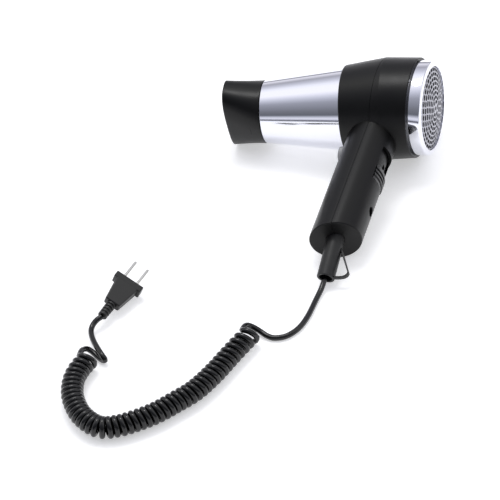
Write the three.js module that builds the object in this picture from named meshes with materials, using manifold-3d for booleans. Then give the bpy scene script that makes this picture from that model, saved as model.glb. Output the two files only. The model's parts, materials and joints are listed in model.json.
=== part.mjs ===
// A hand-held hair dryer with a concentrator nozzle and a curly mains lead, lying on its side on a table.
// Millimetres, +Z up. Every named mesh is one physical piece.
import * as THREE from "three";
import { mergeVertices } from "three/addons/utils/BufferGeometryUtils.js";
import Module from "manifold-3d";

const wasm = await Module();
wasm.setup();

// ---- Driving dimensions -------------------------------------------------------------------------
// The dryer's own frame: X along the barrel towards the air intake, Z away from the handle,
// origin where the barrel's axis crosses the handle's axis.
const GAP = 0.3; // between pieces that touch
const WALL = 2.4; // moulded shell

const HOUSING_RADIUS = 41;
const HOUSING_REAR_RADIUS = 40;
const HOUSING_FRONT = -30.5;
const HOUSING_SHOULDER = 3.4; // where the front cone meets the rear drum
const HOUSING_REAR = 28.2;
const REAR_TILT = THREE.MathUtils.degToRad(6.3); // the intake face looks a little towards the handle

const BARREL_REAR_X = -24.5;
const BARREL_REAR_RADIUS = 33.9;
const BARREL_FRONT_X = -97;
const BARREL_FRONT_RADIUS = 25.5;
const BARREL_WALL = 0.8;

const NOZZLE_OUTLET_X = -127.7;
const OUTLET_HALF_LENGTH = 29.6;
const OUTLET_HALF_HEIGHT = 16.6;
const OUTLET_SQUARENESS = 2.75; // 2 is an ellipse, more is nearer to a rectangle
const NOZZLE_WALL = 1.8;

const CAP_RADIUS = 38;
const CAP_FRONT = 1.4; // measured outward from the housing's rear rim
const CAP_FACE = 10.6;
const GRILLE_RADIUS = 33.2;
const DOME_RISE = 3.6;

const HANDLE_LEAN = THREE.MathUtils.degToRad(7.7);
const HANDLE_RADIUS = 19.85;
const HANDLE_LENGTH = 144.5; // along its axis, from the barrel's axis to the end face
const END_TILT = THREE.MathUtils.degToRad(14.1); // the end face is shorter at the back

const SWITCH_HALF_WIDTH = 12;
const SWITCH_TOP = -52.5;
const SWITCH_BOTTOM = -87;
const SLIDER_LENGTH = 15;
const SLIDER_TRAVEL = 12;
const BUTTON_HEIGHT = -53.8;
const BUTTON_RADIUS = 6.3;
const SCREW_HEIGHT = -112;

const SLEEVE_RADIUS = 7;
const SLEEVE_LENGTH = 33.4;
const SLEEVE_DROOP = THREE.MathUtils.degToRad(12.8); // the rubber sleeve sags to the table
const CORD_RADIUS = 2.2;
const COIL_RADIUS = 9; // outside of the curly stretch

const FAN_RADIUS = 32.6;
const SHAFT_RADIUS = 1.15;
const MOTOR_RADIUS = 14.5;

// ---- Materials ----------------------------------------------------------------------------------
const finish = (color, roughness, metalness = 0) =>
  new THREE.MeshStandardMaterial({ color, roughness, metalness, flatShading: true });
const blackPlastic = finish(0x262627, 0.5);
const glossPlastic = finish(0x141415, 0.25);
const blackRubber = finish(0x222223, 0.6);
const chrome = finish(0xd9dae6, 0.12, 1);
const greyPlastic = finish(0x9d9d9f, 0.4);
const steel = finish(0x9a9c9f, 0.35, 1);
const brass = finish(0xc9a659, 0.3, 1);
const mica = finish(0xc2b59b, 0.6);
const resistanceWire = finish(0x77716b, 0.4, 1);
const whiteNylon = finish(0xdad9d2, 0.5);
const circuitBoard = finish(0x2f5a3a, 0.5);
const brownWire = finish(0x5b3a24, 0.5);
const blueWire = finish(0x29528f, 0.5);

// ---- Geometry helpers ---------------------------------------------------------------------------
// A closed geometry as a solid with its faces turned outwards.
function solid(geometry) {
  const bare = geometry.clone();
  for (const name of Object.keys(bare.attributes)) {
    if (name !== "position") bare.deleteAttribute(name);
  }
  const welded = mergeVertices(bare, 1e-4);
  const place = welded.attributes.position;
  const corners = new Uint32Array(welded.index.array);
  const [a, b, c] = [new THREE.Vector3(), new THREE.Vector3(), new THREE.Vector3()];
  let volume = 0;
  for (let i = 0; i < corners.length; i += 3) {
    a.fromBufferAttribute(place, corners[i]);
    b.fromBufferAttribute(place, corners[i + 1]);
    c.fromBufferAttribute(place, corners[i + 2]);
    volume += a.dot(b.cross(c));
  }
  if (volume < 0) {
    for (let i = 0; i < corners.length; i += 3) {
      [corners[i], corners[i + 1]] = [corners[i + 1], corners[i]];
    }
  }
  return new wasm.Manifold(
    new wasm.Mesh({ numProp: 3, vertProperties: place.array, triVerts: corners }),
  );
}

function join(...geometries) {
  return geometries.map(asSolid).reduce((all, next) => all.add(next));
}

function cut(body, ...tools) {
  return tools.map(asSolid).reduce((left, tool) => left.subtract(tool), asSolid(body));
}

function common(first, second) {
  return asSolid(first).intersect(asSolid(second));
}

function asSolid(shape) {
  return shape.isBufferGeometry ? solid(shape) : shape;
}

function asGeometry(shape) {
  const mesh = asSolid(shape).getMesh();
  const geometry = new THREE.BufferGeometry();
  geometry.setAttribute("position", new THREE.BufferAttribute(mesh.vertProperties, 3));
  geometry.setIndex(new THREE.BufferAttribute(mesh.triVerts, 1));
  return geometry;
}

// A solid of revolution about X from [x, radius] points; a closed ring profile ends where it starts.
function turned(profile, segments = 36) {
  const points = profile.map(([x, radius]) => new THREE.Vector2(radius, x));
  return new THREE.LatheGeometry(points, segments).rotateZ(-Math.PI / 2);
}

// The same about Z, from [z, radius] points.
function turnedUpright(profile, segments = 28) {
  const points = profile.map(([z, radius]) => new THREE.Vector2(radius, z));
  return new THREE.LatheGeometry(points, segments).rotateX(Math.PI / 2);
}

function tubeProfile(from, to, inner, outer) {
  return [[from, inner], [to, inner], [to, outer], [from, outer], [from, inner]];
}

function rodProfile(from, to, radius) {
  return [[from, 0], [from, radius], [to, radius], [to, 0]];
}

function block(width, depth, height, x = 0, y = 0, z = 0) {
  return new THREE.BoxGeometry(width, depth, height).translate(x, y, z);
}

// A round bar swept along points, with its ends square to the path.
function swept(points, radius, sides, steps) {
  const section = new THREE.Shape();
  for (let i = 0; i < sides; i++) {
    const angle = (2 * Math.PI * i) / sides;
    section[i ? "lineTo" : "moveTo"](radius * Math.cos(angle), radius * Math.sin(angle));
  }
  section.closePath();
  const path = new THREE.CatmullRomCurve3(points.map((p) => new THREE.Vector3(...p)), false, "centripetal");
  return new THREE.ExtrudeGeometry(section, { steps, bevelEnabled: false, extrudePath: path });
}

function addMesh(group, name, shape, material) {
  const mesh = new THREE.Mesh(asGeometry(shape), material);
  mesh.name = name;
  group.add(mesh);
  return mesh;
}

// Half-space tools, as big blocks.
const BIG = 400;
const toHandle = (geometry) => geometry.rotateY(HANDLE_LEAN);
const toCap = (geometry) => geometry.rotateY(REAR_TILT).translate(HOUSING_REAR, 0, 0);
const beyondRearRim = toCap(block(BIG, BIG, BIG, BIG / 2, 0, 0));
const endFace = (depth) =>
  toHandle(block(BIG, BIG, BIG, 0, 0, -BIG / 2 - depth).rotateY(-END_TILT).translate(0, 0, -HANDLE_LENGTH));

// ---- Groups -------------------------------------------------------------------------------------
const root = new THREE.Group();
const dryer = new THREE.Group();
const handle = new THREE.Group();
handle.rotation.y = HANDLE_LEAN;
const cap = new THREE.Group();
cap.position.x = HOUSING_REAR;
cap.rotation.y = REAR_TILT;
const sleeve = new THREE.Group();
sleeve.position.z = -HANDLE_LENGTH;
sleeve.rotation.x = SLEEVE_DROOP;
root.add(dryer);
dryer.add(handle, cap);
handle.add(sleeve);

// ---- Front and rear shells: housing and handle in one, split along the handle's axis ---------------
const DRUM_END = 45; // past the tilted rear rim
const outside = join(
  turned([
    [HOUSING_FRONT, 0],
    [HOUSING_FRONT, 34.6],
    [HOUSING_FRONT + 0.6, 35.4],
    [HOUSING_FRONT + 2.6, 36.4],
    [HOUSING_SHOULDER, HOUSING_RADIUS],
    [HOUSING_REAR, HOUSING_REAR_RADIUS],
    [DRUM_END, HOUSING_REAR_RADIUS - 0.6],
    [DRUM_END, 0],
  ], 48),
  toHandle(turnedUpright(rodProfile(-HANDLE_LENGTH - 10, 0, HANDLE_RADIUS), 32)),
);
const BARREL_CLEARANCE = BARREL_REAR_RADIUS + GAP;
const chamber = cut(
  turned([
    [HOUSING_FRONT - 5, 0],
    [HOUSING_FRONT - 5, BARREL_CLEARANCE],
    [BARREL_REAR_X + 0.5, BARREL_CLEARANCE],
    [HOUSING_SHOULDER, HOUSING_RADIUS - WALL],
    [DRUM_END + 5, HOUSING_REAR_RADIUS - WALL],
    [DRUM_END + 5, 0],
  ]),
  toCap(block(BIG, BIG, BIG, BIG / 2 - WALL, 0, 0)),
);
const intakeMouth = toCap(turned(rodProfile(-8, 20, 36.4)));
const handleBore = cut(
  toHandle(turnedUpright(rodProfile(-HANDLE_LENGTH - 10, -20, HANDLE_RADIUS - WALL))),
  endFace(-WALL),
);
const sleeveHole = turnedUpright(rodProfile(-20, 12, SLEEVE_RADIUS + GAP), 24);
sleeveHole.rotateX(SLEEVE_DROOP).translate(0, 0, -HANDLE_LENGTH);
toHandle(sleeveHole);
const switchWindow = toHandle(
  block(
    20, 2 * SWITCH_HALF_WIDTH, SWITCH_TOP - SWITCH_BOTTOM,
    22, 0, (SWITCH_TOP + SWITCH_BOTTOM) / 2,
  ),
);
const buttonHole = toHandle(
  turned(rodProfile(-30, -10, BUTTON_RADIUS + GAP), 24).translate(0, 0, BUTTON_HEIGHT),
);
const hollow = cut(
  outside, beyondRearRim, endFace(0), chamber, intakeMouth, handleBore, sleeveHole, switchWindow, buttonHole,
);

// Screw towers: the rear shell's tower takes the screw's head, the front shell's tower its thread.
const TOWER_RADIUS = 4.6;
const HEAD_RADIUS = 3.4;
const THREAD_RADIUS = 1.4;
const rearTower = turned(rodProfile(GAP, HANDLE_RADIUS - 1.2, TOWER_RADIUS), 20).translate(0, 0, SCREW_HEIGHT);
const frontTower = turned(rodProfile(-HANDLE_RADIUS + 1.2, -GAP, TOWER_RADIUS), 20).translate(0, 0, SCREW_HEIGHT);
const headRecess = turned(rodProfile(8, 30, HEAD_RADIUS + 0.4), 20).translate(0, 0, SCREW_HEIGHT);
const screwHole = turned(rodProfile(-14, 30, THREAD_RADIUS + GAP), 16).translate(0, 0, SCREW_HEIGHT);
const split = (side) => toHandle(block(BIG, BIG, BIG, side * (BIG / 2 + GAP / 2), 0, 0));
const frontShell = cut(join(common(hollow, split(-1)), toHandle(frontTower)), toHandle(screwHole.clone()));
const rearShell = cut(
  join(common(hollow, split(1)), toHandle(rearTower)),
  toHandle(headRecess),
  toHandle(screwHole.clone()),
);
addMesh(dryer, "front_shell", frontShell, blackPlastic);
addMesh(dryer, "rear_shell", rearShell, blackPlastic);

// A screw along X with its head to the rear, driven into a tower.
function screw(headRadius, headLength, threadRadius, length) {
  const slot = block(0.9, 2 * headRadius + 2, 0.8, headLength, 0, 0);
  const body = turned([
    [-length, 0], [-length, threadRadius], [0, threadRadius], [0, headRadius],
    [headLength, headRadius], [headLength, 0],
  ], 16);
  return cut(body, slot);
}
const handleScrew = addMesh(handle, "handle_screw", screw(HEAD_RADIUS, 2.4, THREAD_RADIUS, 20), steel);
handleScrew.position.set(8.3, 0, SCREW_HEIGHT);

// ---- Barrel, heater and air outlet ------------------------------------------------------------------
const barrelSlope = (BARREL_REAR_RADIUS - BARREL_FRONT_RADIUS) / (BARREL_REAR_X - BARREL_FRONT_X);
const barrelRadius = (x) => BARREL_FRONT_RADIUS + (x - BARREL_FRONT_X) * barrelSlope;
addMesh(dryer, "barrel_sleeve", turned([
  [BARREL_FRONT_X, 24],
  [BARREL_FRONT_X, BARREL_FRONT_RADIUS - 0.4],
  [BARREL_FRONT_X + 0.4, BARREL_FRONT_RADIUS],
  [BARREL_REAR_X, BARREL_REAR_RADIUS],
  [BARREL_REAR_X, BARREL_REAR_RADIUS - BARREL_WALL],
  [BARREL_FRONT_X + 0.8, barrelRadius(BARREL_FRONT_X + 0.8) - BARREL_WALL],
  [BARREL_FRONT_X + 0.8, 24],
  [BARREL_FRONT_X, 24],
], 48), chrome);

const OUTLET_COLLAR_RADIUS = 22.6;
addMesh(dryer, "outlet_collar", turned([
  [-106, 20.8], [-106, OUTLET_COLLAR_RADIUS], [-95.8, OUTLET_COLLAR_RADIUS],
  [-95.8, 24.3], [-94.2, 24.3], [-94.2, 20.8], [-106, 20.8],
], 32), glossPlastic);

// The finger guard in front of the heater: a ring with crossed bars.
const guardBars = [0, 1, 2, 3].map((i) =>
  block(1.4, 1.2, 45, -92.9, 0, 0).rotateX((i * Math.PI) / 4));
addMesh(dryer, "outlet_guard", join(
  turned(tubeProfile(-93.8, -92, 21.6, 23.2), 24),
  turned(tubeProfile(-93.6, -92.2, 9, 10.4), 16),
  ...guardBars,
), steel);

const MICA_RADIUS = 23.6;
addMesh(dryer, "mica_tube", turned(tubeProfile(-91.6, -38, MICA_RADIUS - 0.6, MICA_RADIUS), 32), mica);
const BOARD_FROM = -90;
const BOARD_TO = -48;
const BOARD_HALF = 20.6;
const boardMiddle = (BOARD_FROM + BOARD_TO) / 2;
const boardLength = BOARD_TO - BOARD_FROM;
addMesh(dryer, "mica_board_full", block(boardLength, 1, 2 * BOARD_HALF, boardMiddle, 0, 0), mica);
for (const [name, side] of [["mica_board_left", -1], ["mica_board_right", 1]]) {
  const width = BOARD_HALF - 0.5 - GAP;
  const middle = side * (0.5 + GAP + width / 2);
  addMesh(dryer, name, block(boardLength, width, 1, boardMiddle, middle, 0), mica);
}
const COIL_PLACES = [-84, -75, -66, -57];
COIL_PLACES.forEach((x, i) => {
  const ring = new THREE.TorusGeometry(21.7, 0.6, 5, 20).rotateY(Math.PI / 2);
  addMesh(dryer, `heating_coil_${i + 1}`, ring, resistanceWire).position.x = x;
});
addMesh(dryer, "thermal_cutout", join(
  block(13, 2.6, 7, -70, 2.4, 10),
  block(8, 1.2, 5, -70, 4.2, 10),
), steel);
addMesh(dryer, "thermal_fuse", turned(rodProfile(-78, -62, 1.7), 12).translate(0, 2.5, -10), whiteNylon);

// ---- Air guide, motor and fan -------------------------------------------------------------------------
const guideTube = turned([
  [-31, 30.6], [-31, 31.8], [-22, 31.8], [-14, 34.6], [16, 34.6], [16, 33.6], [-13.6, 33.6],
  [-21.6, 30.6], [-31, 30.6],
], 32);
const MOTOR_POCKET = MOTOR_RADIUS + 0.4;
const guideHub = turned(tubeProfile(-30, 2, MOTOR_POCKET, MOTOR_POCKET + 1.4), 24);
const VANES = 7;
const vanes = Array.from({ length: VANES }, (_, i) =>
  block(13, 1.2, 15.8, -24, 0, MOTOR_POCKET + 8.5).rotateX((2 * Math.PI * i) / VANES));
addMesh(dryer, "air_guide", join(guideTube, guideHub, ...vanes), glossPlastic);

// The motor: a drawn steel can closed by an end bell, with the rotor turning between two magnets.
addMesh(dryer, "motor_can", turned([
  [-29.5, 3.9], [-29.5, MOTOR_RADIUS], [0, MOTOR_RADIUS], [0, MOTOR_RADIUS - 1.1],
  [-28.2, MOTOR_RADIUS - 1.1], [-28.2, 3.9], [-29.5, 3.9],
], 24), steel);
addMesh(dryer, "motor_end_bell", turned([
  [0.3, 3.9], [0.3, MOTOR_RADIUS], [2.2, MOTOR_RADIUS], [2.2, 7], [3.6, 6], [3.6, 3.9], [0.3, 3.9],
], 24), glossPlastic);
for (const [name, side] of [["motor_magnet_left", -1], ["motor_magnet_right", 1]]) {
  const ring = turned(tubeProfile(-24, -5, 10.6, 13), 28);
  const keep = block(40, 20, 20, -14, side * 10.5, 0);
  addMesh(dryer, name, common(ring, keep), steel);
}
const bush = () => turned(tubeProfile(-1.6, 1.6, SHAFT_RADIUS + GAP, 3.6), 20);
addMesh(dryer, "front_bearing", bush(), brass).position.x = -28.9;
addMesh(dryer, "rear_bearing", bush(), brass).position.x = 1.9;
addMesh(dryer, "motor_shaft", turned(rodProfile(-32, 17, SHAFT_RADIUS), 14), steel);
addMesh(dryer, "motor_rotor", join(
  turned(tubeProfile(-24, -6, SHAFT_RADIUS + GAP, 9.8), 24),
  turned(tubeProfile(-6, -2.2, SHAFT_RADIUS + GAP, 4.4), 24),
), resistanceWire);
const FAN_FROM = 5;
const FAN_TO = 16;
const BLADES = 9;
const blades = Array.from({ length: BLADES }, (_, i) =>
  block(1.3, 12, FAN_RADIUS - 9, 0, 0, 8 + (FAN_RADIUS - 9) / 2)
    .rotateZ(0.8)
    .translate((FAN_FROM + FAN_TO) / 2, 0, 0)
    .rotateX((2 * Math.PI * i) / BLADES));
const fanHub = turned([
  [FAN_FROM, SHAFT_RADIUS + GAP], [FAN_FROM, 9.5], [FAN_TO - 2, 9.5], [FAN_TO, 7],
  [FAN_TO, SHAFT_RADIUS + GAP], [FAN_FROM, SHAFT_RADIUS + GAP],
], 24);
addMesh(dryer, "fan_impeller", join(fanHub, ...blades), glossPlastic);

const diodes = [[-6, -4], [-6, 4], [6, -4], [6, 4]].map(([y, z]) =>
  block(3, 5, 2.6, -37.6, y, z));
addMesh(dryer, "rectifier_board", join(
  turned(rodProfile(-36.4, -34.8, 12), 24),
  ...diodes,
), circuitBoard);

// ---- Rear cap, grille and lint filter: pulls off backwards for cleaning ---------------------------------
const CAP_MOUTH = GRILLE_RADIUS + GAP;
addMesh(cap, "rear_cap_ring", turned([
  [-7, 35],
  [-7, 36.1],
  [CAP_FRONT, 36.1],
  [CAP_FRONT, CAP_RADIUS],
  [CAP_FACE - 1.4, CAP_RADIUS],
  [CAP_FACE - 0.4, CAP_RADIUS - 0.4],
  [CAP_FACE, CAP_RADIUS - 1.4],
  [CAP_FACE + 1, CAP_MOUTH],
  [CAP_FACE - 1, CAP_MOUTH],
  [CAP_FACE - 1, 35],
  [-7, 35],
], 48), chrome);

// The grille: a shallow dome with three rows of slots.
const domeHeight = (r) => DOME_RISE * (1 - (r / GRILLE_RADIUS) ** 2);
const domeRadii = [0, 12, 24, GRILLE_RADIUS];
const dome = turned([
  ...domeRadii.map((r) => [CAP_FACE + domeHeight(r), r]).reverse(),
  ...domeRadii.map((r) => [CAP_FACE - 0.9 + domeHeight(r), r]),
].concat([[CAP_FACE, GRILLE_RADIUS]]), 30);
const slots = [];
const SLOT_LENGTH = 10;
for (const [radius, count] of [[9, 4], [18, 8], [27, 12]]) {
  for (let i = 0; i < count; i++) {
    slots.push(block(14, SLOT_LENGTH, 5, CAP_FACE, 0, radius).rotateX((2 * Math.PI * i) / count));
  }
}
addMesh(cap, "intake_grille", cut(dome, ...slots), steel);
addMesh(cap, "lint_filter", turned(rodProfile(5.4, 6, 34.6), 32), whiteNylon);

// ---- Nozzle: round at the barrel, a rounded oblong at its mouth ------------------------------------------
// Sections of a tube along X, each between an ellipse and a rectangle.
function loft(sections, sides) {
  const places = [];
  for (const [x, halfLength, halfHeight, squareness] of sections) {
    const reach = (share) => Math.sign(share) * Math.abs(share) ** (2 / squareness);
    for (let i = 0; i < sides; i++) {
      const angle = (2 * Math.PI * i) / sides;
      places.push(x, halfLength * reach(Math.cos(angle)), halfHeight * reach(Math.sin(angle)));
    }
  }
  const last = sections.length - 1;
  places.push(sections[0][0], 0, 0, sections[last][0], 0, 0);
  const firstCentre = sections.length * sides;
  const faces = [];
  for (let i = 0; i < sides; i++) {
    const next = (i + 1) % sides;
    for (let row = 0; row < last; row++) {
      const [a, b] = [row * sides + i, row * sides + next];
      faces.push(a, b, a + sides, b, b + sides, a + sides);
    }
    faces.push(firstCentre, next, i, firstCentre + 1, last * sides + i, last * sides + next);
  }
  const geometry = new THREE.BufferGeometry();
  geometry.setAttribute("position", new THREE.Float32BufferAttribute(places, 3));
  geometry.setIndex(faces);
  return geometry;
}
const NOZZLE_REAR_X = BARREL_FRONT_X - 0.4;
const nozzleSections = (from, to, thinner) => {
  const steps = 5;
  return Array.from({ length: steps + 1 }, (_, i) => {
    const u = i / steps;
    const x = THREE.MathUtils.lerp(from, to, u);
    const along = THREE.MathUtils.clamp((NOZZLE_REAR_X - x) / (NOZZLE_REAR_X - NOZZLE_OUTLET_X), 0, 1);
    const halfLength = BARREL_FRONT_RADIUS + (OUTLET_HALF_LENGTH - BARREL_FRONT_RADIUS) * along ** 1.7;
    const halfHeight = BARREL_FRONT_RADIUS - (BARREL_FRONT_RADIUS - OUTLET_HALF_HEIGHT) * along;
    return [x, halfLength - thinner, halfHeight - thinner, 2 + (OUTLET_SQUARENESS - 2) * along];
  });
};
addMesh(dryer, "concentrator_nozzle", cut(
  loft(nozzleSections(NOZZLE_REAR_X, NOZZLE_OUTLET_X, 0), 32),
  loft(nozzleSections(-106.5, NOZZLE_OUTLET_X - 3, NOZZLE_WALL), 32),
  turned(rodProfile(-107, NOZZLE_REAR_X + 3, BARREL_FRONT_RADIUS - 2.6), 32),
  turned(rodProfile(-102.4, -99.6, BARREL_FRONT_RADIUS - 1.8), 32),
), blackPlastic);
addMesh(dryer, "nozzle_snap_ring", cut(
  turned(tubeProfile(-102, -100, OUTLET_COLLAR_RADIUS + GAP, 23.4), 32),
  block(6, 6, 6, -101, 0, 23),
), steel);

// ---- Switch: tray, thumb slider and switch body at the back of the handle -----------------------------
const arc = (inner, outer, from, to) => turnedUpright(tubeProfile(from, to, inner, outer), 40);
const TRAY_RADIUS = 16.9;
const trayLimits = block(
  20, 2 * SWITCH_HALF_WIDTH + 2, 80, 20 + 1, 0, (SWITCH_TOP + SWITCH_BOTTOM) / 2,
);
const stemSlot = block(12, 4.4, 24, 16, 0, -75);
addMesh(handle, "switch_tray", cut(
  common(arc(TRAY_RADIUS - 1.6, TRAY_RADIUS, SWITCH_BOTTOM - 1.5, SWITCH_TOP + 1.5), trayLimits),
  stemSlot,
), blackPlastic);
const SLIDER_BOTTOM = SWITCH_BOTTOM + 0.5;
const SLIDER_TOP = SLIDER_BOTTOM + SLIDER_LENGTH;
const thumbLimits = block(20, 2 * SWITCH_HALF_WIDTH - 1, 80, 22, 0, -70);
const ribs = [3.2, 6.8, 10.4].map((height) =>
  common(
    arc(18, HANDLE_RADIUS + 0.9, SLIDER_BOTTOM + height, SLIDER_BOTTOM + height + 1.6),
    block(20, 14, 80, 22, 0, -70),
  ));
addMesh(handle, "switch_slider", join(
  common(arc(TRAY_RADIUS + GAP, HANDLE_RADIUS - 0.1, SLIDER_BOTTOM, SLIDER_TOP), thumbLimits),
  ...ribs,
  block(6, 3.6, 5, 14.9, 0, -82.4),
), glossPlastic);
addMesh(handle, "switch_body", block(11, 16, 30, 5, 0, -74), whiteNylon);

// ---- Push button at the front of the handle, held in to run ----------------------------------------------
const BUTTON_FACE = -HANDLE_RADIUS - 3.1;
addMesh(handle, "push_button", turned([
  [BUTTON_FACE, 0], [BUTTON_FACE, BUTTON_RADIUS - 1.4], [BUTTON_FACE + 0.4, BUTTON_RADIUS - 0.4],
  [BUTTON_FACE + 1.4, BUTTON_RADIUS], [-15, BUTTON_RADIUS], [-15, BUTTON_RADIUS + 1.4],
  [-14, BUTTON_RADIUS + 1.4], [-14, 0],
], 24).translate(0, 0, BUTTON_HEIGHT), greyPlastic);
addMesh(handle, "button_spring", turned(tubeProfile(-13.7, -8.3, 3.2, 4), 16)
  .translate(0, 0, BUTTON_HEIGHT), steel);
addMesh(handle, "microswitch", join(
  block(6, 9, 14, -5, 0, BUTTON_HEIGHT),
  turned(rodProfile(-11.2, -7, 1.5), 12).translate(0, 0, BUTTON_HEIGHT),
), glossPlastic);

// ---- Cord entry: rubber sleeve with its hanging loop, clamp and inner leads --------------------------------
const SLEEVE_BORE = 5;
const INNER_BORE = CORD_RADIUS + 0.4;
const BORE_DEPTH = 20;
addMesh(sleeve, "cord_sleeve", turnedUpright([
  [-SLEEVE_LENGTH, SLEEVE_BORE],
  [-SLEEVE_LENGTH, SLEEVE_RADIUS],
  [7, SLEEVE_RADIUS],
  [7, 10],
  [9.5, 10],
  [9.5, INNER_BORE],
  [BORE_DEPTH - SLEEVE_LENGTH, INNER_BORE],
  [BORE_DEPTH - SLEEVE_LENGTH, SLEEVE_BORE],
  [-SLEEVE_LENGTH, SLEEVE_BORE],
], 24), blackRubber);

// The loop's outline seen from the side, in the sleeve's own frame, [out, up], then its inner edge.
const strap = new THREE.Shape();
const out = SLEEVE_RADIUS + GAP;
strap.moveTo(out, -32.9);
strap.quadraticCurveTo(17.6, -32.6, 17.6, -27.2);
strap.lineTo(out, -6.4);
strap.lineTo(out, -9.6);
strap.lineTo(16.2, -26.8);
strap.quadraticCurveTo(16.4, -31.2, out, -31.5);
strap.closePath();
const STRAP_WIDTH = 3.6;
const strapGeometry = new THREE.ExtrudeGeometry(strap, {
  depth: STRAP_WIDTH, steps: 1, curveSegments: 6, bevelEnabled: false,
}).rotateX(Math.PI / 2).translate(0, STRAP_WIDTH / 2, 0);
addMesh(sleeve, "hanging_loop", strapGeometry, blackRubber);

addMesh(sleeve, "inner_flex", turnedUpright(
  rodProfile(BORE_DEPTH - SLEEVE_LENGTH + GAP, 24, CORD_RADIUS), 10,
), blackRubber);
const CLAMP_HEIGHT = 16;
addMesh(sleeve, "cord_clamp", cut(
  block(9, 8, 7, 0, 0, CLAMP_HEIGHT),
  turnedUpright(rodProfile(0, 30, CORD_RADIUS + GAP), 16),
), whiteNylon);

const lead = (offset, y) => [[offset, y - 4, -118.6], [offset, y - 3, -112], [offset, y, -100], [offset, y, -89.4]];
addMesh(handle, "live_lead", swept(lead(7.5, -5).map(([x, y, z]) => [x, y - 2, z]), 0.9, 6, 6), brownWire);
addMesh(handle, "neutral_lead", swept(lead(7.5, 5).map(([x, y, z]) => [x, y + 4, z]), 0.9, 6, 6), blueWire);
addMesh(handle, "motor_lead", swept([[3, 3, -58.6], [3, 4, -52], [2, 5, -46], [0, 6, -39]], 0.9, 6, 6), brownWire);

// ---- Rest on the table ---------------------------------------------------------------------------------
// The dryer lies on the +Y side of the housing's shoulder and the handle's end, and is held by its lead
// with the nozzle's mouth about 2 mm off the table.
// The plane under the lowest point of each edge is found by repeating the search as it turns.
const MOUTH_CLEARANCE = 2.1;
function circlePoints(centre, across, along, radiusAcross, radiusAlong) {
  return Array.from({ length: 180 }, (_, i) => {
    const angle = (Math.PI * i) / 90;
    return centre.clone()
      .addScaledVector(across, radiusAcross * Math.cos(angle))
      .addScaledVector(along, radiusAlong * Math.sin(angle));
  });
}
const Y_AXIS = new THREE.Vector3(0, 1, 0);
const Z_AXIS = new THREE.Vector3(0, 0, 1);
const handleTurn = new THREE.Matrix4().makeRotationY(HANDLE_LEAN);
const endAlong = new THREE.Vector3(1, 0, Math.tan(END_TILT)).applyMatrix4(handleTurn);
const endCentre = new THREE.Vector3(0, 0, -HANDLE_LENGTH).applyMatrix4(handleTurn);
const supports = [
  circlePoints(new THREE.Vector3(HOUSING_SHOULDER, 0, 0), Y_AXIS, Z_AXIS, HOUSING_RADIUS, HOUSING_RADIUS),
  circlePoints(
    new THREE.Vector3(NOZZLE_OUTLET_X, 0, 0), Y_AXIS, Z_AXIS,
    OUTLET_HALF_LENGTH + MOUTH_CLEARANCE, OUTLET_HALF_HEIGHT,
  ),
  circlePoints(endCentre, Y_AXIS, endAlong, HANDLE_RADIUS, HANDLE_RADIUS),
];
const up = new THREE.Vector3(0, -1, 0);
for (let turn = 0; turn < 12; turn++) {
  const lowest = supports.map((points) =>
    points.reduce((low, point) => (point.dot(up) < low.dot(up) ? point : low)));
  const edge = lowest[1].clone().sub(lowest[0]);
  up.copy(edge.cross(lowest[2].clone().sub(lowest[0]))).normalize();
  if (up.y > 0) up.negate();
}
const rearward = new THREE.Vector3(1, 0, 0).addScaledVector(up, -up.x).normalize();
const sideways = new THREE.Vector3().crossVectors(up, rearward);
dryer.quaternion.setFromRotationMatrix(new THREE.Matrix4().makeBasis(rearward, sideways, up).transpose());
dryer.updateMatrixWorld(true);
const box = new THREE.Box3().setFromObject(dryer, true);
dryer.position.set(-(box.min.x + box.max.x) / 2, -(box.min.y + box.max.y) / 2, -box.min.z);
root.updateMatrixWorld(true);

// ---- Mains lead on the table: a straight stretch, the curly stretch, a short tail and the plug ---------
const LYING = CORD_RADIUS + 0.1;
const COIL_HEIGHT = COIL_RADIUS + 0.1;
addMesh(root, "cord_lead", swept([
  [23.9, -87, 14.9], [22.8, -97, 11], [20.6, -106.2, 6.3], [19.2, -113.5, 3.7], [16.8, -125.7, LYING],
  [13.9, -144.3, LYING], [9.3, -158.3, LYING], [1.9, -167.4, LYING], [-6.6, -170.4, LYING],
  [-13.6, -169.4, 3.6], [-18.6, -172.6, 5.5],
], CORD_RADIUS, 10, 16), blackRubber);
addMesh(root, "cord_coil", swept([
  [-25, -172.5, COIL_HEIGHT], [-33, -196, COIL_HEIGHT], [-42.7, -219.9, COIL_HEIGHT],
  [-53.1, -239.4, COIL_HEIGHT], [-64.6, -252.6, COIL_HEIGHT], [-76.3, -264.8, COIL_HEIGHT],
  [-88.6, -273.9, COIL_HEIGHT], [-101.3, -280.9, COIL_HEIGHT], [-115, -283.1, COIL_HEIGHT],
  [-130.7, -272.2, COIL_HEIGHT], [-141.5, -254.7, COIL_HEIGHT], [-145.5, -238.4, COIL_HEIGHT],
  [-144.9, -225.7, COIL_HEIGHT], [-141.6, -214.9, COIL_HEIGHT], [-139, -207.3, COIL_HEIGHT],
], COIL_RADIUS, 12, 20), blackRubber);
addMesh(root, "cord_tail", swept([
  [-133.6, -208.4, 4.2], [-131.9, -203.5, 3.2], [-133.3, -195, LYING], [-140.6, -186.1, LYING],
  [-146, -179.5, 2.9], [-146.6, -174.5, 4.2], [-144, -170, 6.9], [-141.3, -164.4, 9.4],
], CORD_RADIUS, 10, 10), blackRubber);

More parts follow.
